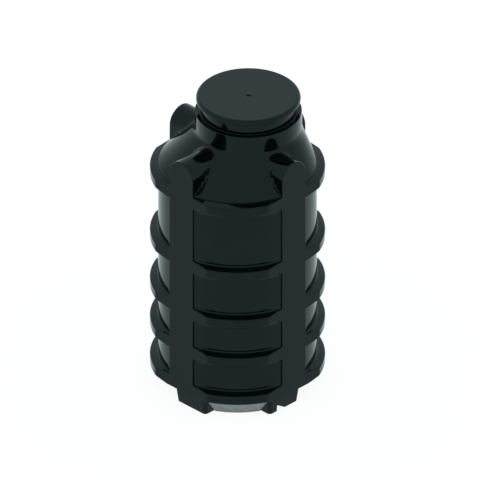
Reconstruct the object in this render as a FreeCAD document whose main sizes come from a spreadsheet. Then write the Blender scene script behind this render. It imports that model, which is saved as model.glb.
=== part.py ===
import FreeCAD, Part
import Sketcher
import os

# Water meter chamber: a round moulded tank on feet, with four flat pipe pads,
# five stiffening hoops, an eccentric shoulder, a neck and a lift-off lid.
# Millimetres, +Z up, origin on the tank's axis at the level it stands on.

V = FreeCAD.Vector
doc = FreeCAD.newDocument("water_meter_chamber")

# Driving dimensions
sizes = doc.addObject("Spreadsheet::Sheet", "sizes")
driving = {
    "wall_radius": 300,
    "wall_thickness": 8,
    "floor_underside": 52,
    "floor_thickness": 10,
    "pad_proud": 1,
    "pad_width": 124,
    "pad_head_drop": 1,
    "hoop_depth": 31,
    "hoop_face_height": 34,
    "hoop_upper_draft": 7.2,
    "hoop_lower_draft": 16,
    "hoop_root_depth": 30,
    "hoop_upper_radius": 7,
    "hoop_lower_radius": 3,
    "hoop_1_height": 79,
    "hoop_2_height": 249,
    "hoop_3_height": 418,
    "hoop_4_height": 629,
    "hoop_5_height": 910,
    "shoulder_start": 28,
    "shoulder_height": 124,
    "neck_offset": 58,
    "neck_radius": 202,
    "neck_height": 79,
    "neck_edge_radius": 5,
    "ledge_thickness": 8,
    "collar_thickness": 6,
    "collar_height": 49,
    "seal_width": 15,
    "seal_thickness": 5,
    "seal_edge_radius": 3,
    "lid_setback": 4,
    "lid_thickness": 20,
    "lid_edge_radius": 14,
    "lid_overhang": 16,
    "lid_skirt_thickness": 5,
    "lid_skirt_depth": 37,
    "lid_skirt_radius": 2,
    "lid_running_gap": 5,
    "button_radius": 12,
    "button_height": 3,
    "button_edge_radius": 2,
    "foot_depth": 60,
    "foot_side_draft": 10,
    "foot_front_draft": 3,
    "foot_outer_end": 131,
    "foot_inner_end": 27,
    "foot_slot_start": 47,
    "foot_slot_end": 88,
    "skirt_inset": 16,
}
for row, (name, value) in enumerate(driving.items(), start=1):
    sizes.set(f"A{row}", name)
    sizes.set(f"B{row}", str(value))
    sizes.setAlias(f"B{row}", name)
doc.recompute()


def cell(text):
    # Puts the sheet's name before each alias in a formula.
    words = []
    for word in text.split():
        words.append(f"sizes.{word}" if word in driving else word)
    return " ".join(words)


def bind(item, **formulas):
    # Ties properties of an object to formulas; x, y and z tie its place.
    for name, text in formulas.items():
        path = f"Placement.Base.{name}" if name in ("x", "y", "z") else name
        item.setExpression(path, cell(text))
    return item


def box(name, **formulas):
    return bind(doc.addObject("Part::Box", name), **formulas)


def cylinder(name, **formulas):
    return bind(doc.addObject("Part::Cylinder", name), **formulas)


def cone(name, **formulas):
    return bind(doc.addObject("Part::Cone", name), **formulas)


def cut(name, base, tool):
    item = doc.addObject("Part::Cut", name)
    item.Base = base
    item.Tool = tool
    return item


def common(name, base, tool):
    item = doc.addObject("Part::Common", name)
    item.Base = base
    item.Tool = tool
    return item


def fuse(name, shapes):
    item = doc.addObject("Part::MultiFuse", name)
    item.Shapes = shapes
    return item


nodes = []


def node(item, label):
    # Marks an object as a finished piece of the chamber.
    item.Label = label
    nodes.append(item)
    return item


def tube(name, outer, inner, height, **place):
    # A ring with an upright axis.
    skin = cylinder(f"{name}_outside", Radius=outer, Height=height, **place)
    bore = cylinder(f"{name}_bore", Radius=inner, Height=height, **place)
    return cut(name, skin, bore)


# Sizes that follow from the driving ones
hoop_radius = "( wall_radius + hoop_depth )"
pad_distance = "( wall_radius + pad_proud )"
shoulder_base = "( hoop_5_height + shoulder_start )"
shoulder_top = f"( {shoulder_base} + shoulder_height )"
neck_top = f"( {shoulder_top} + neck_height )"
pad_arch_height = f"( {shoulder_top} - pad_head_drop - pad_width / 2 )"
lid_radius = "( neck_radius - lid_setback )"
skirt_outside = f"( {lid_radius} - lid_overhang )"
skirt_inside = f"( {skirt_outside} - lid_skirt_thickness )"
collar_radius = f"( {skirt_inside} - lid_running_gap )"
lid_seat = f"( {neck_top} + collar_height )"

# Tank wall, in four panels between the pads
wall_height = f"( {shoulder_base} - floor_underside )"
wall_inside = "( wall_radius - wall_thickness )"
wall = tube("wall", "wall_radius", wall_inside, wall_height, z="floor_underside")

corner_span = f"( {hoop_radius} - pad_width / 2 )"
corner_near = "pad_width / 2"
corner_far = f"0 - {hoop_radius}"
corners = {
    "front": (corner_near, corner_far),
    "right": (corner_near, corner_near),
    "back": (corner_far, corner_near),
    "left": (corner_far, corner_far),
}
for side, (x, y) in corners.items():
    space = box(f"{side}_panel_space", Length=corner_span, Width=corner_span, Height=wall_height,
                x=x, y=y, z="floor_underside")
    node(common(f"{side}_panel", wall, space), f"{side}_wall_panel")

# Floor of the tank, inside the wall
node(cylinder("floor", Radius=wall_inside, Height="floor_thickness", z="floor_underside"), "base_floor")


# Shoulder: a slanted cone that leads the wall up to the offset neck
def shoulder_solid(name, inset):
    stations = [
        (shoulder_base, "wall_radius", "0"),
        (shoulder_top, "neck_radius", "neck_offset"),
    ]
    rings = []
    for number, (height, radius, offset) in enumerate(stations, start=1):
        ring = doc.addObject("Part::Circle", f"{name}_ring_{number}")
        rings.append(bind(ring, Radius=f"{radius} - {inset}", y=offset, z=height))
    loft = doc.addObject("Part::Loft", name)
    loft.Sections = rings
    loft.Solid = True
    return loft


shoulder_outside = shoulder_solid("shoulder_outside", "0")
shoulder_inside = shoulder_solid("shoulder_inside", "wall_thickness")
shoulder = cut("shoulder", shoulder_outside, shoulder_inside)
quarter_far = "0 - wall_radius"
quarters = {
    "front": ("0", quarter_far),
    "right": ("0", "0"),
    "back": (quarter_far, "0"),
    "left": (quarter_far, quarter_far),
}
for side, (x, y) in quarters.items():
    space = box(f"{side}_shoulder_space", Length="wall_radius", Width="wall_radius",
                Height="shoulder_height", x=x, y=y, z=shoulder_base)
    node(common(f"{side}_shoulder_quarter", shoulder, space), f"{side}_shoulder")

# Four flat pads for pipes, each with a round head that runs back into the shoulder
pad_inside = cylinder("pad_inside", Radius=wall_inside, Height=wall_height, z="floor_underside")
pad_space = fuse("pad_space", [pad_inside, shoulder_outside])
pad_turns = {"south": 0, "east": 90, "north": 180, "west": 270}
for side, turn in pad_turns.items():
    shaft = box(f"{side}_pad_shaft", Length="pad_width", Width=pad_distance,
                Height=f"{pad_arch_height} - floor_underside",
                x="0 - pad_width / 2", y=f"0 - {pad_distance}", z="floor_underside")
    head = cylinder(f"{side}_pad_head", Radius="pad_width / 2", Height=pad_distance, z=pad_arch_height)
    head.Placement.Rotation = FreeCAD.Rotation(V(1, 0, 0), 90)
    blank = fuse(f"{side}_pad_blank", [shaft, head])
    blank.Placement.Rotation = FreeCAD.Rotation(V(0, 0, 1), turn)
    node(cut(f"{side}_pad_cut", blank, pad_space), f"{side}_pipe_pad")


# Hoops: drafted rings with rounded edges, seated on the tank and cut flat at the pads
hoop_lower_fall = "hoop_lower_draft * ( hoop_depth + hoop_root_depth ) / hoop_depth"
hoop_upper_rise = "hoop_upper_draft * ( hoop_depth + hoop_root_depth ) / hoop_depth"
hoop_drop = "( hoop_face_height / 2 + hoop_lower_draft )"
hoop_space_height = "2 * ( hoop_face_height + hoop_lower_draft + hoop_upper_draft )"
wall_outside = cylinder("wall_core", Radius="wall_radius", Height=wall_height, z="floor_underside")
tank_outside = fuse("tank_outside", [wall_outside, shoulder_outside])


def hoop_ring(name, height):
    body = doc.addObject("PartDesign::Body", name)
    plane = [f for f in body.Origin.OriginFeatures if f.Role == "XZ_Plane"][0]
    sketch = body.newObject("Sketcher::SketchObject", f"{name}_section")
    sketch.AttachmentSupport = [(plane, "")]
    sketch.MapMode = "FlatFace"
    outer = driving["wall_radius"] + driving["hoop_depth"]
    inner = driving["wall_radius"] - driving["hoop_root_depth"]
    face = driving["hoop_face_height"] / 2
    reach = (outer - inner) / driving["hoop_depth"]
    low = -face - driving["hoop_lower_draft"] * reach
    high = face + driving["hoop_upper_draft"] * reach
    points = [V(inner, low, 0), V(outer, -face, 0), V(outer, face, 0), V(inner, high, 0)]
    for start, end in zip(points, points[1:] + points[:1]):
        sketch.addGeometry(Part.LineSegment(start, end))
    for side in range(4):
        sketch.addConstraint(Sketcher.Constraint("Coincident", side, 2, (side + 1) % 4, 1))
    sketch.addConstraint(Sketcher.Constraint("Symmetric", 1, 1, 1, 2, -1))
    sketch.addConstraint(Sketcher.Constraint("Vertical", 3))
    measures = [
        ("inner", Sketcher.Constraint("DistanceX", -1, 1, 0, 1, inner), "wall_radius - hoop_root_depth"),
        ("outer", Sketcher.Constraint("DistanceX", -1, 1, 1, 1, outer), hoop_radius),
        ("face", Sketcher.Constraint("DistanceY", 1, 1, 1, 2, 2 * face), "hoop_face_height"),
        ("lower", Sketcher.Constraint("DistanceY", 0, 1, 0, 2, -face - low), hoop_lower_fall),
        ("upper", Sketcher.Constraint("DistanceY", 2, 1, 2, 2, high - face), hoop_upper_rise),
    ]
    for word, constraint, formula in measures:
        index = sketch.addConstraint(constraint)
        sketch.renameConstraint(index, word)
        sketch.setExpression(f"Constraints.{word}", cell(formula))
    turned = body.newObject("PartDesign::Revolution", f"{name}_turned")
    turned.Profile = sketch
    turned.ReferenceAxis = (sketch, ["V_Axis"])
    turned.Angle = 360
    last = turned
    for word, upward in (("lower", -1), ("upper", 1)):
        doc.recompute()
        rims = []
        for number, edge in enumerate(last.Shape.Edges, start=1):
            bounds = edge.BoundBox
            outermost = bounds.XLength > inner + outer and bounds.ZLength < 0.01
            if outermost and bounds.Center.z * upward > face - 0.01:
                rims.append(f"Edge{number}")
        rounded = body.newObject("PartDesign::Fillet", f"{name}_{word}_edge")
        rounded.Base = (last, rims)
        rounded.setExpression("Radius", cell(f"hoop_{word}_radius"))
        last = rounded
    body.setExpression("Placement.Base.z", cell(height))
    return body


flat_span = f"( {pad_distance} - pad_width / 2 )"
flat_far = f"0 - {pad_distance}"
flats = {
    "front": (corner_near, flat_far),
    "right": (corner_near, corner_near),
    "back": (flat_far, corner_near),
    "left": (flat_far, flat_far),
}
lowest_ring = None
for number in range(1, 6):
    height = f"hoop_{number}_height"
    ring = hoop_ring(f"hoop_{number}_ring", height)
    lowest_ring = lowest_ring or ring
    bottom = f"{height} - {hoop_drop}" if number > 1 else "floor_underside"
    spaces = []
    for side, (x, y) in flats.items():
        spaces.append(box(f"hoop_{number}_{side}_space", Length=flat_span, Width=flat_span,
                          Height=hoop_space_height, x=x, y=y, z=bottom))
    arcs = common(f"hoop_{number}_arcs", ring, fuse(f"hoop_{number}_spaces", spaces))
    node(cut(f"hoop_{number}_seated", arcs, tank_outside), f"hoop_{number}")

# Feet under the pads, and a bevelled skirt between them at the front and back corners
tank_bottom = cylinder("tank_bottom", Radius="wall_radius", Height="hoop_1_height", z="floor_underside")
pad_bottoms = [
    box("pad_bottoms_along_y", Length="pad_width", Width=f"2 * {pad_distance}", Height="hoop_1_height",
        x="0 - pad_width / 2", y=f"0 - {pad_distance}", z="floor_underside"),
    box("pad_bottoms_along_x", Length=f"2 * {pad_distance}", Width="pad_width", Height="hoop_1_height",
        x=f"0 - {pad_distance}", y="0 - pad_width / 2", z="floor_underside"),
]
above_feet = fuse("above_feet", pad_bottoms + [tank_bottom, lowest_ring])


def foot_block(name, start, end, start_draft, end_draft):
    # A block on the front face of the tank, from one place along X to another, narrower at its foot.
    block = doc.addObject("Part::Wedge", name)
    block.Placement.Rotation = FreeCAD.Rotation(V(1, 0, 0), 90)
    return bind(block, Ymin="0", Ymax="hoop_1_height",
                Xmin=f"{start} + {start_draft}", Xmax=f"{end} - {end_draft}", X2min=start, X2max=end,
                Zmin=f"{pad_distance} - foot_depth", Zmax=f"{pad_distance} - foot_front_draft",
                Z2min=f"{pad_distance} - foot_depth", Z2max=pad_distance)


sloped = "foot_side_draft"
foot_plan = [
    ("south", 0, [("0 - foot_inner_end", "foot_outer_end", sloped, sloped)]),
    ("east", 90, [("0 - foot_outer_end", "0 - foot_slot_end", sloped, "0"),
                  ("0 - foot_slot_start", "foot_inner_end", "0", sloped)]),
    ("north", 180, [("foot_slot_end", "foot_outer_end", "0", sloped),
                    ("0 - foot_inner_end", "foot_slot_start", sloped, "0")]),
    ("west", 270, [("0 - foot_outer_end", "foot_inner_end", sloped, sloped)]),
]
for side, turn, blocks in foot_plan:
    pieces = []
    for number, block in enumerate(blocks, start=1):
        pieces.append(foot_block(f"{side}_foot_block_{number}", *block))
    standing = doc.addObject("Part::Compound", f"{side}_foot_blocks")
    standing.Links = pieces
    standing.Placement.Rotation = FreeCAD.Rotation(V(0, 0, 1), turn)
    node(cut(f"{side}_foot_cut", standing, above_feet), f"{side}_foot")

skirt_cone = cone("skirt_cone", Radius1="wall_radius - skirt_inset", Radius2=hoop_radius,
                  Height="hoop_1_height")
skirt = cut("skirt", skirt_cone, above_feet)
skirt_span = f"( {hoop_radius} - foot_outer_end )"
skirt_corners = {"front": ("foot_outer_end", corner_far), "back": (corner_far, "foot_outer_end")}
for side, (x, y) in skirt_corners.items():
    space = box(f"{side}_skirt_space", Length=skirt_span, Width=skirt_span, Height="hoop_1_height", x=x, y=y)
    node(common(f"{side}_skirt_corner", skirt, space), f"{side}_skirt")


# Neck, with a ledge and a collar for the lid
def rounded_disc(name, edge_radius, radius, height, bore=None, lower=False, **place):
    # An upright round piece, bored through where a bore is given, with its upper or lower outer edge rounded.
    body = doc.addObject("PartDesign::Body", name)
    last = body.newObject("PartDesign::AdditiveCylinder", f"{name}_blank")
    bind(last, Radius=radius, Height=height)
    if bore:
        last = body.newObject("PartDesign::SubtractiveCylinder", f"{name}_bore")
        bind(last, Radius=bore, Height=height)
    doc.recompute()
    whole = last.Shape.BoundBox
    level = whole.ZMin if lower else whole.ZMax
    rims = {}
    for number, edge in enumerate(last.Shape.Edges, start=1):
        bounds = edge.BoundBox
        if abs(bounds.ZMin - level) < 0.01 and abs(bounds.ZMax - level) < 0.01:
            rims[bounds.XLength] = f"Edge{number}"
    rounded = body.newObject("PartDesign::Fillet", f"{name}_rounded")
    rounded.Base = (last, [rims[max(rims)]])
    bind(rounded, Radius=edge_radius)
    return bind(body, **place)


neck_inside = "( neck_radius - wall_thickness )"
node(rounded_disc("neck", "neck_edge_radius", "neck_radius", "neck_height", neck_inside,
                  y="neck_offset", z=shoulder_top), "neck_ring")
collar_inside = f"( {collar_radius} - collar_thickness )"
node(tube("ledge", neck_inside, collar_inside, "ledge_thickness",
          y="neck_offset", z=f"{neck_top} - ledge_thickness"), "neck_ledge")
node(tube("collar", collar_radius, collar_inside, "collar_height",
          y="neck_offset", z=neck_top), "neck_collar")
seal_radius = f"{collar_radius} + seal_width"
node(rounded_disc("seal", "seal_edge_radius", seal_radius, "seal_thickness", collar_radius,
                  y="neck_offset", z=neck_top), "seal_ring")

# Lid: a thick round cover with a narrower skirt round the collar and a button on top
node(rounded_disc("lid", "lid_edge_radius", lid_radius, "lid_thickness",
                  y="neck_offset", z=lid_seat), "lid_cover")
node(rounded_disc("lid_rim", "lid_skirt_radius", skirt_outside, "lid_skirt_depth", skirt_inside, lower=True,
                  y="neck_offset", z=f"{lid_seat} - lid_skirt_depth"), "lid_skirt")
node(rounded_disc("button", "button_edge_radius", "button_radius", "button_height",
                  y="neck_offset", z=f"{lid_seat} + lid_thickness"), "lid_button")

doc.recompute()
for item in doc.Objects:
    if "Invalid" in item.State or "Error" in item.State:
        raise RuntimeError(f"{item.Name} could not be built: {item.State}")
for item in nodes:
    if item.Shape.isNull() or not item.Shape.isValid() or not item.Shape.Solids:
        raise RuntimeError(f"{item.Label} is not a sound solid")

os.makedirs("parts", exist_ok=True)
for item in nodes:
    item.Shape.exportStep(f"parts/{item.Label}.step")
    print(item.Label, len(item.Shape.Solids), "solids", round(item.Shape.Volume / 1e6, 3), "litres")
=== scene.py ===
import bpy
import bmesh
import math
import numpy as np
from mathutils import Matrix, Vector


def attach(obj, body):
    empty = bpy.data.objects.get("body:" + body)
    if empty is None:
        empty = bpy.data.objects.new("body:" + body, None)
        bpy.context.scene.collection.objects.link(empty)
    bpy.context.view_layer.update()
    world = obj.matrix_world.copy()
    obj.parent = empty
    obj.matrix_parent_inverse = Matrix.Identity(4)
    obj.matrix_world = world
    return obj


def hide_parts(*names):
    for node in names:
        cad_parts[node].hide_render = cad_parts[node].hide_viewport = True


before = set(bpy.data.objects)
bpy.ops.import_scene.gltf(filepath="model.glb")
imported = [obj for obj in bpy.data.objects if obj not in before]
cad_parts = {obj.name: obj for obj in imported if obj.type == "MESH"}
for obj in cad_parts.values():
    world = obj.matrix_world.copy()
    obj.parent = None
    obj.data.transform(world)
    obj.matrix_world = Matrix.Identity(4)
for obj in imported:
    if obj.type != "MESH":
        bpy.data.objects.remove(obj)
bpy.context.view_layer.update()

# Water meter chamber in black moulded plastic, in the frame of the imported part, +Z up.
# Sizes are in millimetres unless a note says otherwise, and mm turns them to Blender's metres.
mm = 0.001
print("frame loaded:", len(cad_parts), "nodes")


def hexToLinear(text):
    channels = [int(text[i:i + 2], 16) / 255 for i in (1, 3, 5)]
    return [c / 12.92 if c <= 0.04045 else ((c + 0.055) / 1.055) ** 2.4 for c in channels] + [1.0]


def addNode(tree, kind, links=None, values=None, **settings):
    node = tree.nodes.new(kind)
    for name, value in settings.items():
        setattr(node, name, value)
    for name, value in (values or {}).items():
        node.inputs[name].default_value = value
    for name, socket in (links or {}).items():
        tree.links.new(socket, node.inputs[name])
    return node


def newMaterial(name):
    material = bpy.data.materials.new(name)
    material.use_nodes = True
    material.node_tree.nodes.clear()
    return material, material.node_tree


# What the part's materials share. The stops are parts of the noise's range from 0 to 1.
skin = {
    "colourStops": (0.35, 0.65),
    "roughStops": (0.3, 0.7),
    "patchDetail": 2.0,
    "grainDetail": 1.0,
    "bumpStrength": 0.3,
    "glossTurn": (0.15, 0.4),   # how far a surface has turned from the eye while its gloss changes
}
# Polyethylene from a smooth mould: an even black with a dim, slightly cool mirror gloss.
tankPlastic = {
    "name": "moulded polyethylene, black",
    "colour": "#020506",
    "patchColour": "#04080a",   # the same black where the moulded skin is a little thicker
    "tint": "#e6fbff",
    "gloss": (0.21, 0.162),     # seen from the front and from the side; clear plastic has 0.5
    "roughness": (0.04, 0.07),
    "patchSize": 90.0,          # faint unevenness of the moulded skin
    "grainSize": 1.6,           # grain of the mould, so shallow that it hardly stirs the gloss
    "grainDepth": 0.004,
}
# The same plastic on the lid, with a gloss that stays even from every side, so that the lid's top reads
# brighter than the tank at the same slant: painted light, standing in for brighter light from above.
lidPaintedLightPlastic = dict(tankPlastic, name="moulded polyethylene, lid with painted light", gloss=(0.207, 0.207), patchSize=60.0)
# Moulded rubber is as black and duller, so that it blurs what it mirrors.
sealRubber = dict(tankPlastic, name="moulded rubber, black", gloss=(0.15, 0.15),
                  roughness=(0.25, 0.35), patchSize=20.0)
# Polyethylene on the skirts where the chamber is set down, painted a pale, matt and slightly blotchy grey: a
# painted reflection of the bright floor that the bevel under the lowest hoop shows.
floorReflectionPlastic = {
    "name": "polyethylene, grey with painted floor reflection",
    "colour": "#969593",
    "patchColour": "#a5a4a2",
    "tint": "#ffffff",
    "gloss": (0.18, 0.12),
    "roughness": (0.55, 0.75),
    "patchSize": 25.0,
    "grainSize": 1.2,
    "grainDepth": 0.02,
}


def plasticFinish(look):
    material, tree = newMaterial(look["name"])
    place = addNode(tree, "ShaderNodeTexCoord").outputs["Object"]
    patches = addNode(tree, "ShaderNodeTexNoise", links={"Vector": place}, values={
        "Scale": 1 / (look["patchSize"] * mm), "Detail": skin["patchDetail"]}).outputs["Fac"]
    colours = addNode(tree, "ShaderNodeValToRGB", links={"Fac": patches})
    shades = (look["colour"], look["patchColour"])
    for stop, position, colour in zip(colours.color_ramp.elements, skin["colourStops"], shades):
        stop.position = position
        stop.color = hexToLinear(colour)
    roughStart, roughEnd = skin["roughStops"]
    low, high = look["roughness"]
    rough = addNode(tree, "ShaderNodeMapRange", links={"Value": patches}, values={
        "From Min": roughStart, "From Max": roughEnd, "To Min": low, "To Max": high})
    grain = addNode(tree, "ShaderNodeTexNoise", links={"Vector": place}, values={
        "Scale": 1 / (look["grainSize"] * mm), "Detail": skin["grainDetail"]})
    bump = addNode(tree, "ShaderNodeBump", links={"Height": grain.outputs["Fac"]}, values={
        "Strength": skin["bumpStrength"], "Distance": look["grainDepth"] * mm})
    # The gloss is less than clear plastic's, and can be a little less again from the side.
    facing = addNode(tree, "ShaderNodeLayerWeight", values={"Blend": 0.5}).outputs["Facing"]
    turnStart, turnEnd = skin["glossTurn"]
    front, side = look["gloss"]
    gloss = addNode(tree, "ShaderNodeMapRange", links={"Value": facing}, values={
        "From Min": turnStart, "From Max": turnEnd, "To Min": front, "To Max": side})
    shader = addNode(tree, "ShaderNodeBsdfPrincipled", values={
        "Specular Tint": hexToLinear(look["tint"]),
        "IOR": 1.5,
    }, links={
        "Base Color": colours.outputs["Color"],
        "Roughness": rough.outputs["Result"],
        "Normal": bump.outputs["Normal"],
        "Specular IOR Level": gloss.outputs["Result"],
    })
    addNode(tree, "ShaderNodeOutputMaterial", links={"Surface": shader.outputs["BSDF"]})
    return material


tankFinish = plasticFinish(tankPlastic)
lidPaintedLightFinish = plasticFinish(lidPaintedLightPlastic)
sealFinish = plasticFinish(sealRubber)
floorReflectionFinish = plasticFinish(floorReflectionPlastic)
# The skirts get the pale grey that is a painted reflection of the floor.
nodeFinishes = {"seal_ring": sealFinish, "front_skirt": floorReflectionFinish, "back_skirt": floorReflectionFinish}
for name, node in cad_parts.items():
    finish = lidPaintedLightFinish if name.startswith("lid") else tankFinish
    node.data.materials.clear()
    node.data.materials.append(nodeFinishes.get(name, finish))
print("materials on the nodes")


def arc(centre, radius, start, end, steps):
    angles = np.radians(np.linspace(start, end, steps + 1))
    return [(centre[0] + radius * math.cos(a), centre[1] + radius * math.sin(a)) for a in angles]


def softMin(a, b, reach):
    # Joins two solids with a hollow fillet, which starts where their distances differ by reach.
    near = np.maximum(reach - np.abs(a - b), 0) / reach
    return np.minimum(a, b) - near * near * reach / 4


def softMax(a, b, reach):
    # Keeps what two solids share, with a rounded edge.
    return -softMin(-a, -b, reach)


def ramp(value, start, end):
    return np.clip((value - start) / (end - start), 0, 1)


# The tank as one moulding: wall, hoops, pipe pads and shoulder run into each other with small hollow fillets.
tank = {
    "wallRadius": 300.0,
    "wallThickness": 8.0,
    "bottom": 52.0,
    "hoopHeights": (79.0, 249.0, 418.0, 629.0, 910.0),
    "hoopRadius": 331.0,
    "hoopFace": 34.0,
    "hoopUpperDraft": 7.4,            # how far the upper side rises from the hoop's edge to the wall
    "hoopLowerDraft": 16.0,           # and how far the lower side falls
    "hoopUpperEdge": 5.0,
    "hoopLowerEdge": 3.5,
    "hoopFillet": 4.5,
    "topHoopFillet": 0.3,             # the top hoop meets the wall in a sharper line
    "padDistance": 301.0,
    "padWidth": 124.0,
    "padHeadTop": 1061.0,
    "padEdge": 1.0,
    "headEdge": 3.0,
    "headEdgeRise": (-40.0, 20.0),    # where the edge grows, from the centre of the round head
    "padFillet": 1.0,
    "headFillet": 12.0,
    "headFilletRise": (70.0, 130.0),  # where the fillet grows, from the top hoop
    "shoulderStart": 28.0,            # from the top hoop
    "shoulderHeight": 124.0,
    "shoulderOverrun": 1.1,           # the shoulder runs on inside the neck for a tenth of its height
    "neckOffset": 58.0,
    "neckRadius": 202.0,
    "neckFillet": 12.0,
    "seamHeight": 774.0,              # barrel and shoulder are two pieces that meet here on the plain wall
    "neckSeam": 1112.0,               # above this the neck is plain and needs no rays
}
topHoop = tank["hoopHeights"][-1]
shoulderBase = topHoop + tank["shoulderStart"]

# The tank's grid: rows and columns are closest at the edges of hoops and pads.
tankGrid = {
    # columns from the middle of a face towards its corner
    "faceDegrees": (0, 1.5, 3, 4.4, 5.7, 6.9, 8, 8.9, 9.6, 10.1, 10.45, 10.75, 11.05, 11.3, 11.5, 11.6,
                    11.67, 11.74, 11.81, 11.88, 11.95, 12.05, 12.35, 12.75, 13.4, 14.5, 16, 17.5, 19,
                    20.3, 21.3, 22.1, 22.8, 23.4, 24, 24.6, 25.2, 25.9, 26.8, 28, 30, 32, 34.2, 36.4,
                    38.6, 40.8, 43),
    # heights from a hoop's middle
    "hoopRows": (-40, -32, -29.5, -28, -27, -26, -25, -23.5, -22, -20.5, -19, -18, -17.3, -16.6, -16,
                 -15, -13, -8, 0, 6, 9, 10.5, 12, 13, 14, 15, 16, 17, 17.5, 18, 18.5, 19, 20, 21, 22.5,
                 23.6, 24.2, 24.6, 25, 26, 27, 28, 29.5, 32, 40),
    "bottomClearance": 1.0,           # the first of those rows is at least this far above the bottom
    "shoulderRows": 130,
    "fanStart": 30.0,                 # the fan of rays starts this far up the wall from the top hoop
    "barrelRing": 300.0,              # one more ring on the barrel's inner wall
    "shoulderRings": (1.0, 0.9, 0.75, 0.6, 0.45, 0.3, 0.15, 0.0),  # parts of the shoulder's height, inside
    "rayStart": 60.0,
    "rayEnd": 420.0,
    "halvings": 34,
    "normalStep": 0.05,
}


def shoulderSection(z):
    # Radius and offset of the shoulder's round section, and how they change with height.
    height = tank["shoulderHeight"]
    risen = np.clip((z - shoulderBase) / height, 0, tank["shoulderOverrun"])
    rising = np.where(z > shoulderBase, 1.0, 0.0)
    narrowing = tank["neckRadius"] - tank["wallRadius"]
    offset = tank["neckOffset"]
    radius = tank["wallRadius"] + narrowing * risen
    return radius, narrowing / height * rising, offset * risen, offset / height * rising


def hoopField(x, y, z):
    # Below zero inside a hoop.
    depth = tank["hoopRadius"] - tank["wallRadius"]
    upperDraft = math.atan2(tank["hoopUpperDraft"], depth)
    lowerDraft = math.atan2(tank["hoopLowerDraft"], depth)
    face = np.hypot(x, y) - tank["hoopRadius"]
    hoops = []
    for height in tank["hoopHeights"]:
        upper = (z - height - tank["hoopFace"] / 2) * math.cos(upperDraft) + face * math.sin(upperDraft)
        lower = (height - z - tank["hoopFace"] / 2) * math.cos(lowerDraft) + face * math.sin(lowerDraft)
        hoops.append(softMax(softMax(face, upper, tank["hoopUpperEdge"]), lower, tank["hoopLowerEdge"]))
    return np.min(hoops, axis=0)


def tankField(x, y, z):
    # Below zero inside the tank's outer surface.
    radius, growth, offset, drift = shoulderSection(z)
    span = np.hypot(x, y - offset)
    lean = -growth - drift * (y - offset) / np.maximum(span, 1)    # kept off zero at the middle
    body = (span - radius) / np.sqrt(1 + lean * lean)
    neckWall = np.hypot(x, y - tank["neckOffset"]) - tank["neckRadius"]
    body = softMin(body, neckWall, tank["neckFillet"])
    hoopFillet = np.where(z < tank["seamHeight"], tank["hoopFillet"], tank["topHoopFillet"])
    shape = softMin(body, hoopField(x, y, z), hoopFillet)
    half = tank["padWidth"] / 2
    headCentre = tank["padHeadTop"] - half
    rise = np.maximum(z - headCentre, 0)
    pads = np.minimum(np.hypot(x, rise), np.hypot(y, rise)) - half
    filletPart = ramp(z - topHoop, *tank["headFilletRise"])
    shape = softMin(shape, pads, tank["padFillet"] + (tank["headFillet"] - tank["padFillet"]) * filletPart)
    square = np.maximum(np.abs(x), np.abs(y)) - tank["padDistance"]
    edgePart = ramp(z - headCentre, *tank["headEdgeRise"])
    return softMax(shape, square, tank["padEdge"] + (tank["headEdge"] - tank["padEdge"]) * edgePart)


def meetTank(origins, directions):
    # The points where rays from the axis leave the tank, and the outward normals there.
    near = np.full(len(origins), tankGrid["rayStart"])
    far = np.full(len(origins), tankGrid["rayEnd"])
    for halving in range(tankGrid["halvings"]):
        middle = (near + far) / 2
        inside = tankField(*(origins + directions * middle[:, None]).T) < 0
        near = np.where(inside, middle, near)
        far = np.where(inside, far, middle)
    points = origins + directions * ((near + far) / 2)[:, None]
    slopes = []
    for shift in np.eye(3) * tankGrid["normalStep"]:
        slopes.append(tankField(*(points + shift).T) - tankField(*(points - shift).T))
    normals = np.stack(slopes, axis=1)
    return points, normals / np.linalg.norm(normals, axis=1)[:, None]


def roundAngles():
    half = tankGrid["faceDegrees"]
    face = [-a for a in half[:0:-1]] + list(half) + [45.0]
    return np.radians([quarter * 90 + a for quarter in range(4) for a in face])


def neckAngles(angles):
    # How far out the neck's wall is along each column, and where that stands round the neck's own axis.
    across = tank["neckOffset"] * np.sin(angles)
    reach = across + np.sqrt(tank["neckRadius"] ** 2 - tank["neckOffset"] ** 2 + across ** 2)
    turned = np.arctan2(reach * np.sin(angles) - tank["neckOffset"], reach * np.cos(angles))
    return reach, angles + (turned - angles + math.pi) % (2 * math.pi) - math.pi


def levelRow(angles, z):
    origins = np.zeros((len(angles), 3))
    origins[:, 2] = z
    directions = np.stack([np.cos(angles), np.sin(angles), np.zeros_like(angles)], axis=1)
    return meetTank(origins, directions)


def risingRow(angles, part):
    # Rays that fan up from the top hoop's middle to the seam on the neck.
    origins = np.zeros((len(angles), 3))
    origins[:, 2] = topHoop
    start = math.atan2(tankGrid["fanStart"], tank["wallRadius"])
    end = np.arctan2(tank["neckSeam"] - topHoop, neckAngles(angles)[0])
    rise = start + (end - start) * part
    level = np.cos(rise)
    directions = np.stack([np.cos(angles) * level, np.sin(angles) * level, np.sin(rise)], axis=1)
    return meetTank(origins, directions)


def insideRow(angles, z):
    # A ring on the tank's inner surface, with normals that look at the axis.
    level = np.full_like(angles, z)
    radius, growth, offset, drift = shoulderSection(level)
    risen = ramp(level, shoulderBase, shoulderBase + tank["shoulderHeight"])
    turned = angles + (neckAngles(angles)[1] - angles) * risen
    depth = radius - tank["wallThickness"]
    points = np.stack([depth * np.cos(turned), offset + depth * np.sin(turned), level], axis=1)
    normals = np.stack([-np.cos(turned), -np.sin(turned), growth + drift * np.sin(turned)], axis=1)
    return points, normals / np.linalg.norm(normals, axis=1)[:, None]


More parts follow.
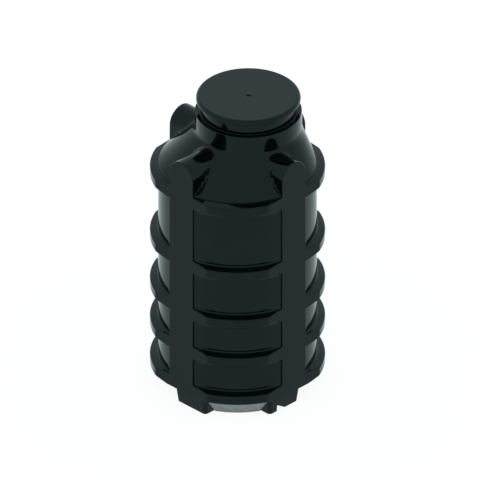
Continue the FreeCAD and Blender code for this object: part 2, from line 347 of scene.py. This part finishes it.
def neckRow(angles, radius, z, outward, upward):
    turned = neckAngles(angles)[1]
    level = np.full_like(angles, z)
    tilt = np.full_like(angles, upward)
    points = np.stack([radius * np.cos(turned), tank["neckOffset"] + radius * np.sin(turned), level], axis=1)
    normals = np.stack([outward * np.cos(turned), outward * np.sin(turned), tilt], axis=1)
    return points, normals


neck = {
    "top": 1141.0, "edge": 1.5, "edgeSteps": 8, "ledge": 8.0,
    "collarRadius": 172.0, "collarInside": 166.0, "collarTop": 1190.0, "collarEdge": 2.0, "collarSteps": 4,
    "crease": 0.05,    # two rows this close make a sharp corner
}


def roundedEdge(centre, size, start, steps):
    # Radius, height and outward direction round a quarter of a circle.
    turns = arc((0, 0), 1, start, start + 90, steps)
    return [(centre[0] + size * out, centre[1] + size * up, out, up) for out, up in turns]


def neckRows(look):
    # The neck's rim, ledge and collar, from the seam on the neck round to its inner wall.
    radius, top, edge, small = tank["neckRadius"], look["top"], look["edge"], look["collarEdge"]
    outer, inner, rim, crease = look["collarRadius"], look["collarInside"], look["collarTop"], look["crease"]
    inside = radius - tank["wallThickness"]
    lower = top - look["ledge"]
    profile = roundedEdge((radius - edge, top - edge), edge, 0, look["edgeSteps"])
    profile += [(outer, top, 0, 1), (outer, top + crease, 1, 0)]
    profile += roundedEdge((outer - small, rim - small), small, 0, look["collarSteps"])
    profile += roundedEdge((inner + small, rim - small), small, 90, look["collarSteps"])
    profile += [(inner, lower, -1, 0), (inner + crease, lower, 0, -1),
                (inside, lower, 0, -1), (inside, lower - crease, -1, 0)]
    return [neckRow(roundAngles(), *step) for step in profile]


def tankPiece(name, rows, caps):
    # A closed grid: rows of points run round the tank, and the last row joins the first.
    # Caps are the flat rings at the seam and the bottom, by their first row, with the way they face.
    count = len(rows)
    points = np.concatenate([row[0] for row in rows])
    normals = np.concatenate([row[1] for row in rows])
    columns = len(points) // count
    faces = []
    for row in range(count):
        here = row * columns
        following = (row + 1) % count * columns
        for column in range(columns):
            right = (column + 1) % columns
            faces.append((here + column, here + right, following + right, following + column))
    mesh = bpy.data.meshes.new(name)
    mesh.from_pydata((points * mm).tolist(), [], faces)
    mesh.validate()
    mesh.polygons.foreach_set("use_smooth", [True] * len(mesh.polygons))
    corners = np.empty(len(mesh.loops), dtype=np.int32)
    mesh.loops.foreach_get("vertex_index", corners)
    cornerNormals = normals[corners]
    for row, direction in caps.items():
        start = row % count * columns * 4    # four corners to a face
        cornerNormals[start:start + columns * 4] = direction
    mesh.normals_split_custom_set(cornerNormals.tolist())
    mesh.materials.append(tankFinish)
    thing = bpy.data.objects.new(name, mesh)
    bpy.context.scene.collection.objects.link(thing)
    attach(thing, "chamber")
    return thing


facingUp = (0, 0, 1)
facingDown = (0, 0, -1)
wallSides = ("front", "right", "back", "left")
padSides = ("south", "east", "north", "west")


def tankBarrel():
    angles = roundAngles()
    lowest = tank["bottom"] + tankGrid["bottomClearance"]
    levels = [tank["bottom"]]
    for height in tank["hoopHeights"][:-1]:
        levels += [height + z for z in tankGrid["hoopRows"] if height + z > lowest]
    levels.append(tank["seamHeight"])
    rows = [levelRow(angles, z) for z in levels]
    rows += [insideRow(angles, z) for z in (tank["seamHeight"], tankGrid["barrelRing"], tank["bottom"])]
    barrel = tankPiece("tankBarrel", rows, {len(levels) - 1: facingUp, -1: facingDown})
    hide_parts(*[side + "_wall_panel" for side in wallSides], "hoop_1", "hoop_2", "hoop_3", "hoop_4")


def tankShoulder():
    angles = roundAngles()
    levels = [tank["seamHeight"]]
    levels += [topHoop + z for z in tankGrid["hoopRows"] if z < tank["shoulderStart"]]
    rows = [levelRow(angles, z) for z in levels]
    count = tankGrid["shoulderRows"]
    rows += [risingRow(angles, (i + 1) / count) for i in range(count)]
    rows += neckRows(neck)
    rings = [shoulderBase + tank["shoulderHeight"] * part for part in tankGrid["shoulderRings"]]
    rows += [insideRow(angles, z) for z in rings + [tank["seamHeight"]]]
    shoulder = tankPiece("tankShoulder", rows, {-1: facingDown})
    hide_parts("hoop_5", "neck_ring", "neck_ledge", "neck_collar",
                *[side + "_shoulder" for side in wallSides], *[side + "_pipe_pad" for side in padSides])


tankBarrel()
tankShoulder()
print("tank made")


def finishShape(name, shape, finish, sharpDegrees, body):
    bmesh.ops.recalc_face_normals(shape, faces=shape.faces)
    mesh = bpy.data.meshes.new(name)
    shape.to_mesh(mesh)
    shape.free()
    mesh.polygons.foreach_set("use_smooth", [True] * len(mesh.polygons))
    mesh.set_sharp_from_angle(angle=math.radians(sharpDegrees))
    mesh.materials.append(finish)
    thing = bpy.data.objects.new(name, mesh)
    bpy.context.scene.collection.objects.link(thing)
    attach(thing, body)
    return thing


# Blocks under the lowest hoop, in places along a face of the tank and out from its axis.
feet = {
    "back": 241.0,
    "levels": (0.0, 44.0, 72.0),
    "fronts": (298.3, 301.15, 301.15),    # the front face at those levels, in the end a hair proud of the pad
    "cornerEnd": 126.5, "cornerDraft": 0.083, "cornerRound": 14.0, "cornerSteps": 8,
    "cornerSupport": 1.0,                 # a line beside the rounding keeps the flat faces flat
    "innerEnd": -15.5, "innerDraft": 0.155,    # both drafts are for each millimetre of height
    "slotCorner": 88.5, "slotInner": 46.0, "slotHeight": 27.0,
    "slotted": ("east", "north"),
    "mirrored": ("east", "west"),
    "sharpDegrees": 25,
}


def cornerEnd(look, height, front):
    # The end at the tank's corner. Each end runs from the back to the front.
    end = look["cornerEnd"] + look["cornerDraft"] * height
    size = look["cornerRound"]
    past = size + look["cornerSupport"]
    rounded = arc((end - size, front - size), size, 0, 90, look["cornerSteps"])
    plan = [(end, look["back"]), (end, front - past)] + rounded + [(end - past, front)]
    return [(along, out, height) for along, out in plan]


def innerEnd(look, height, front):
    end = look["innerEnd"] - look["innerDraft"] * height
    return [(end, look["back"], height), (end, front, height)]


def slotWall(look, height, front):
    return [(look["slotCorner"], look["back"], height), (look["slotCorner"], front, height)]


def slotSlope(look, height, front):
    # Over the slot the underside slopes up from the ground to the slot's full height.
    raised = max(height, look["slotHeight"])
    raisedFront = np.interp(raised, look["levels"], look["fronts"])
    return [(look["slotInner"], look["back"], height), (look["slotCorner"], look["back"], raised),
            (look["slotCorner"], raisedFront, raised), (look["slotInner"], front, height)]


def footPiece(look, side, quarter):
    blocks = [(innerEnd, cornerEnd)]
    if side in look["slotted"]:
        blocks = [(slotWall, cornerEnd), (innerEnd, slotSlope)]
    flip = -1 if side in look["mirrored"] else 1
    turn = Matrix.Rotation(math.radians(90 * quarter), 3, "Z")
    shape = bmesh.new()
    for nearEnd, farEnd in blocks:
        rings = []
        for height, front in zip(look["levels"], look["fronts"]):
            outline = nearEnd(look, height, front) + farEnd(look, height, front)[::-1]
            places = [turn @ Vector((along * flip, -out, z)) * mm for along, out, z in outline]
            rings.append([shape.verts.new(place) for place in places])
        shape.faces.new(rings[0])
        shape.faces.new(rings[-1])
        for lower, upper in zip(rings, rings[1:]):
            for i in range(len(lower)):
                shape.faces.new((lower[i - 1], lower[i], upper[i], upper[i - 1]))
    foot = finishShape(side + "Foot", shape, tankFinish, look["sharpDegrees"], "chamber")
    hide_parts(side + "_foot")


for quarter, side in enumerate(padSides):
    footPiece(feet, side, quarter)
print("feet made")

turning = {"segments": 160, "sharpDegrees": 32}


def lathe(name, outline, finish, body, segments=turning["segments"]):
    # Turns a closed outline of radius and height round the neck's axis.
    shape = bmesh.new()
    angles = [2 * math.pi * i / segments for i in range(segments)]
    rings = []
    for radius, height in outline:
        ring = []
        turns = angles if radius > 0 else angles[:1]    # one point on the axis itself
        for a in turns:
            place = Vector((radius * math.cos(a), tank["neckOffset"] + radius * math.sin(a), height))
            ring.append(shape.verts.new(place * mm))
        rings.append(ring)
    for lower, upper in zip(rings, rings[1:] + rings[:1]):
        if len(lower) == 1 and len(upper) == 1:
            continue
        for i in range(segments):
            if len(lower) == 1:
                shape.faces.new((lower[0], upper[i], upper[i - 1]))
            elif len(upper) == 1:
                shape.faces.new((lower[i - 1], lower[i], upper[0]))
            else:
                shape.faces.new((lower[i - 1], lower[i], upper[i], upper[i - 1]))
    return finishShape(name, shape, finish, turning["sharpDegrees"], body)


seal = {
    "radius": 187.0, "top": 1146.0, "edge": 3.0, "edgeSteps": 5,
    "collarGap": 0.2, "ledgeGap": 0.1,    # so that no face lies in another
}


def sealBead(look):
    inside = neck["collarRadius"] + look["collarGap"]
    bottom = neck["top"] + look["ledgeGap"]
    radius, top, edge = look["radius"], look["top"], look["edge"]
    outline = [(inside, bottom), (radius, bottom)]
    outline += arc((radius - edge, top - edge), edge, 0, 90, look["edgeSteps"]) + [(inside, top)]
    bead = lathe("sealBead", outline, sealFinish, "chamber")
    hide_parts("seal_ring")


lid = {
    "top": 1210.0, "radius": 198.0, "edgeWidth": 12.0, "edgeHeight": 14.0, "edgeSteps": 16,
    "underside": 1190.0, "lip": 4.0, "lipSteps": 6,
    "skirtRadius": 182.0, "skirtInside": 177.0, "skirtBottom": 1148.0, "skirtEdge": 2.0, "skirtSteps": 4,
    "topSupport": 3.0, "skirtSupport": 0.5,    # rows beside the roundings keep the flat top and the wall flat
}


def lidCover(look):
    # The skirt's lower edge and wall, the cover's lip, its oval edge and flat top, and the inside.
    radius, wide, high, lip = look["radius"], look["edgeWidth"], look["edgeHeight"], look["lip"]
    top, under, inside = look["top"], look["underside"], look["skirtInside"]
    skirt, bottom, small = look["skirtRadius"], look["skirtBottom"], look["skirtEdge"]
    outline = [(inside, bottom)]
    outline += arc((skirt - small, bottom + small), small, -90, 0, look["skirtSteps"])
    outline += [(skirt, bottom + small + look["skirtSupport"]), (skirt, under)]
    outline += arc((radius - lip, under + lip), lip, -90, 0, look["lipSteps"])
    oval = arc((0, 0), 1, 0, 90, look["edgeSteps"])
    outline += [(radius - wide + wide * out, top - high + high * rise) for out, rise in oval]
    outline += [(radius - wide - look["topSupport"], top), (0, top), (0, under), (inside, under)]
    cover = lathe("lidCover", outline, lidPaintedLightFinish, "lid")
    cover.data.materials.append(tankFinish)
    # The lid's top faces get the brighter gloss, painted light for light from above, and the rest of the lid
    # keeps the tank's gloss.
    for face in cover.data.polygons:
        face.material_index = 0 if face.center.z > (top - high) * mm else 1    # the side is as the tank
    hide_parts("lid_cover", "lid_skirt")


button = {"radius": 10.0, "height": 3.0, "edge": 0.6, "edgeSteps": 4, "root": 2.0, "segments": 48}


def lidButton(look):
    radius, edge = look["radius"], look["edge"]
    root = lid["top"] - look["root"]    # it starts inside the lid
    top = lid["top"] + look["height"]
    outline = [(0, root), (radius, root)]
    outline += arc((radius - edge, top - edge), edge, 0, 90, look["edgeSteps"]) + [(0, top)]
    disc = lathe("lidButton", outline, lidPaintedLightFinish, "lid", look["segments"])
    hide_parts("lid_button")


sealBead(seal)
lidCover(lid)
lidButton(button)
print("seal and lid made")

# A white card under a white tent in slightly cool daylight.
studio = {
    "floorSize": 60.0,         # metres
    "floorColour": "#e6e6e6",  # the card as it lights the object from below
    "shadeColour": "#5a5a5a",  # how much of the shadow shows on the white that the eye and the gloss see
    "floorGlow": 0.92,
    "whiteColour": "#ffffff",
    "skyColour": "#eafcff",
    "skyStrength": 1.0,
}


def whiteToTheEye(tree, look):
    # The gloss shows the slightly cool daylight, and the background itself reads as plain white.
    rays = addNode(tree, "ShaderNodeLightPath").outputs
    mixed = addNode(tree, "ShaderNodeMixRGB", links={0: rays["Is Camera Ray"]}, values={
        1: hexToLinear(look["skyColour"]), 2: hexToLinear(look["whiteColour"])})
    return mixed.outputs[0]


def whiteCard(look):
    # Smooth card: dull and pale to the object, and a glowing white to the eye and the gloss.
    material, tree = newMaterial("white card")
    card = addNode(tree, "ShaderNodeBsdfDiffuse", values={"Color": hexToLinear(look["floorColour"])})
    shade = addNode(tree, "ShaderNodeBsdfDiffuse", values={"Color": hexToLinear(look["shadeColour"])})
    glow = addNode(tree, "ShaderNodeEmission", links={"Color": whiteToTheEye(tree, look)}, values={
        "Strength": look["floorGlow"]})
    white = addNode(tree, "ShaderNodeAddShader", links={0: shade.outputs[0], 1: glow.outputs[0]})
    rays = addNode(tree, "ShaderNodeLightPath").outputs
    mirrored = addNode(tree, "ShaderNodeMath", operation="MAXIMUM", links={
        0: rays["Is Glossy Ray"], 1: rays["Is Transmission Ray"]})
    seen = addNode(tree, "ShaderNodeMath", operation="MAXIMUM", links={
        0: rays["Is Camera Ray"], 1: mirrored.outputs[0]})
    surface = addNode(tree, "ShaderNodeMixShader", links={
        0: seen.outputs[0], 1: card.outputs[0], 2: white.outputs[0]})
    addNode(tree, "ShaderNodeOutputMaterial", links={"Surface": surface.outputs[0]})
    return material


def studioFloor(look):
    half = look["floorSize"] / 2
    corners = [(-half, -half, 0), (half, -half, 0), (half, half, 0), (-half, half, 0)]
    mesh = bpy.data.meshes.new("studioFloor")
    mesh.from_pydata(corners, [], [(0, 1, 2, 3)])
    mesh.materials.append(whiteCard(look))
    floor = bpy.data.objects.new("studioFloor", mesh)
    bpy.context.scene.collection.objects.link(floor)


def studioSky(look):
    world = bpy.data.worlds.new("studioSky")
    bpy.context.scene.world = world
    world.use_nodes = True
    tree = world.node_tree
    tree.nodes.clear()
    glow = addNode(tree, "ShaderNodeBackground", links={"Color": whiteToTheEye(tree, look)}, values={
        "Strength": look["skyStrength"]})
    addNode(tree, "ShaderNodeOutputWorld", links={"Surface": glow.outputs[0]})


studioFloor(studio)
studioSky(studio)

# The photo has no perspective, so its angles and the size of a pixel set the camera.
viewpoint = {
    "azimuth": 45.0,           # degrees
    "elevation": 31.6,         # degrees
    "pixelSize": 3.7725,
    "imagePixels": 480,
    "axisPixelX": 237.5,       # where the tank's axis meets the ground in the photo
    "groundPixelY": 373.2,
    "distance": 8.0,           # metres
}


def photoCamera(look):
    azimuth = math.radians(look["azimuth"])
    elevation = math.radians(look["elevation"])
    pixel = look["pixelSize"] * mm
    level = math.cos(elevation)
    towards = Vector((math.sin(azimuth) * level, -math.cos(azimuth) * level, math.sin(elevation)))
    right = Vector((math.cos(azimuth), math.sin(azimuth), 0))
    middle = look["imagePixels"] / 2
    height = (look["groundPixelY"] - middle) * pixel / level
    aim = Vector((0, 0, height)) + right * (middle - look["axisPixelX"]) * pixel
    data = bpy.data.cameras.new("photoCamera")
    data.type = "ORTHO"
    data.ortho_scale = look["imagePixels"] * pixel
    camera = bpy.data.objects.new("photoCamera", data)
    camera.location = aim + towards * look["distance"]
    camera.rotation_euler = (-towards).to_track_quat("-Z", "Y").to_euler()
    bpy.context.scene.collection.objects.link(camera)
    bpy.context.scene.camera = camera


photoCamera(viewpoint)
bpy.context.scene.view_settings.view_transform = "Standard"
print("studio and camera set")
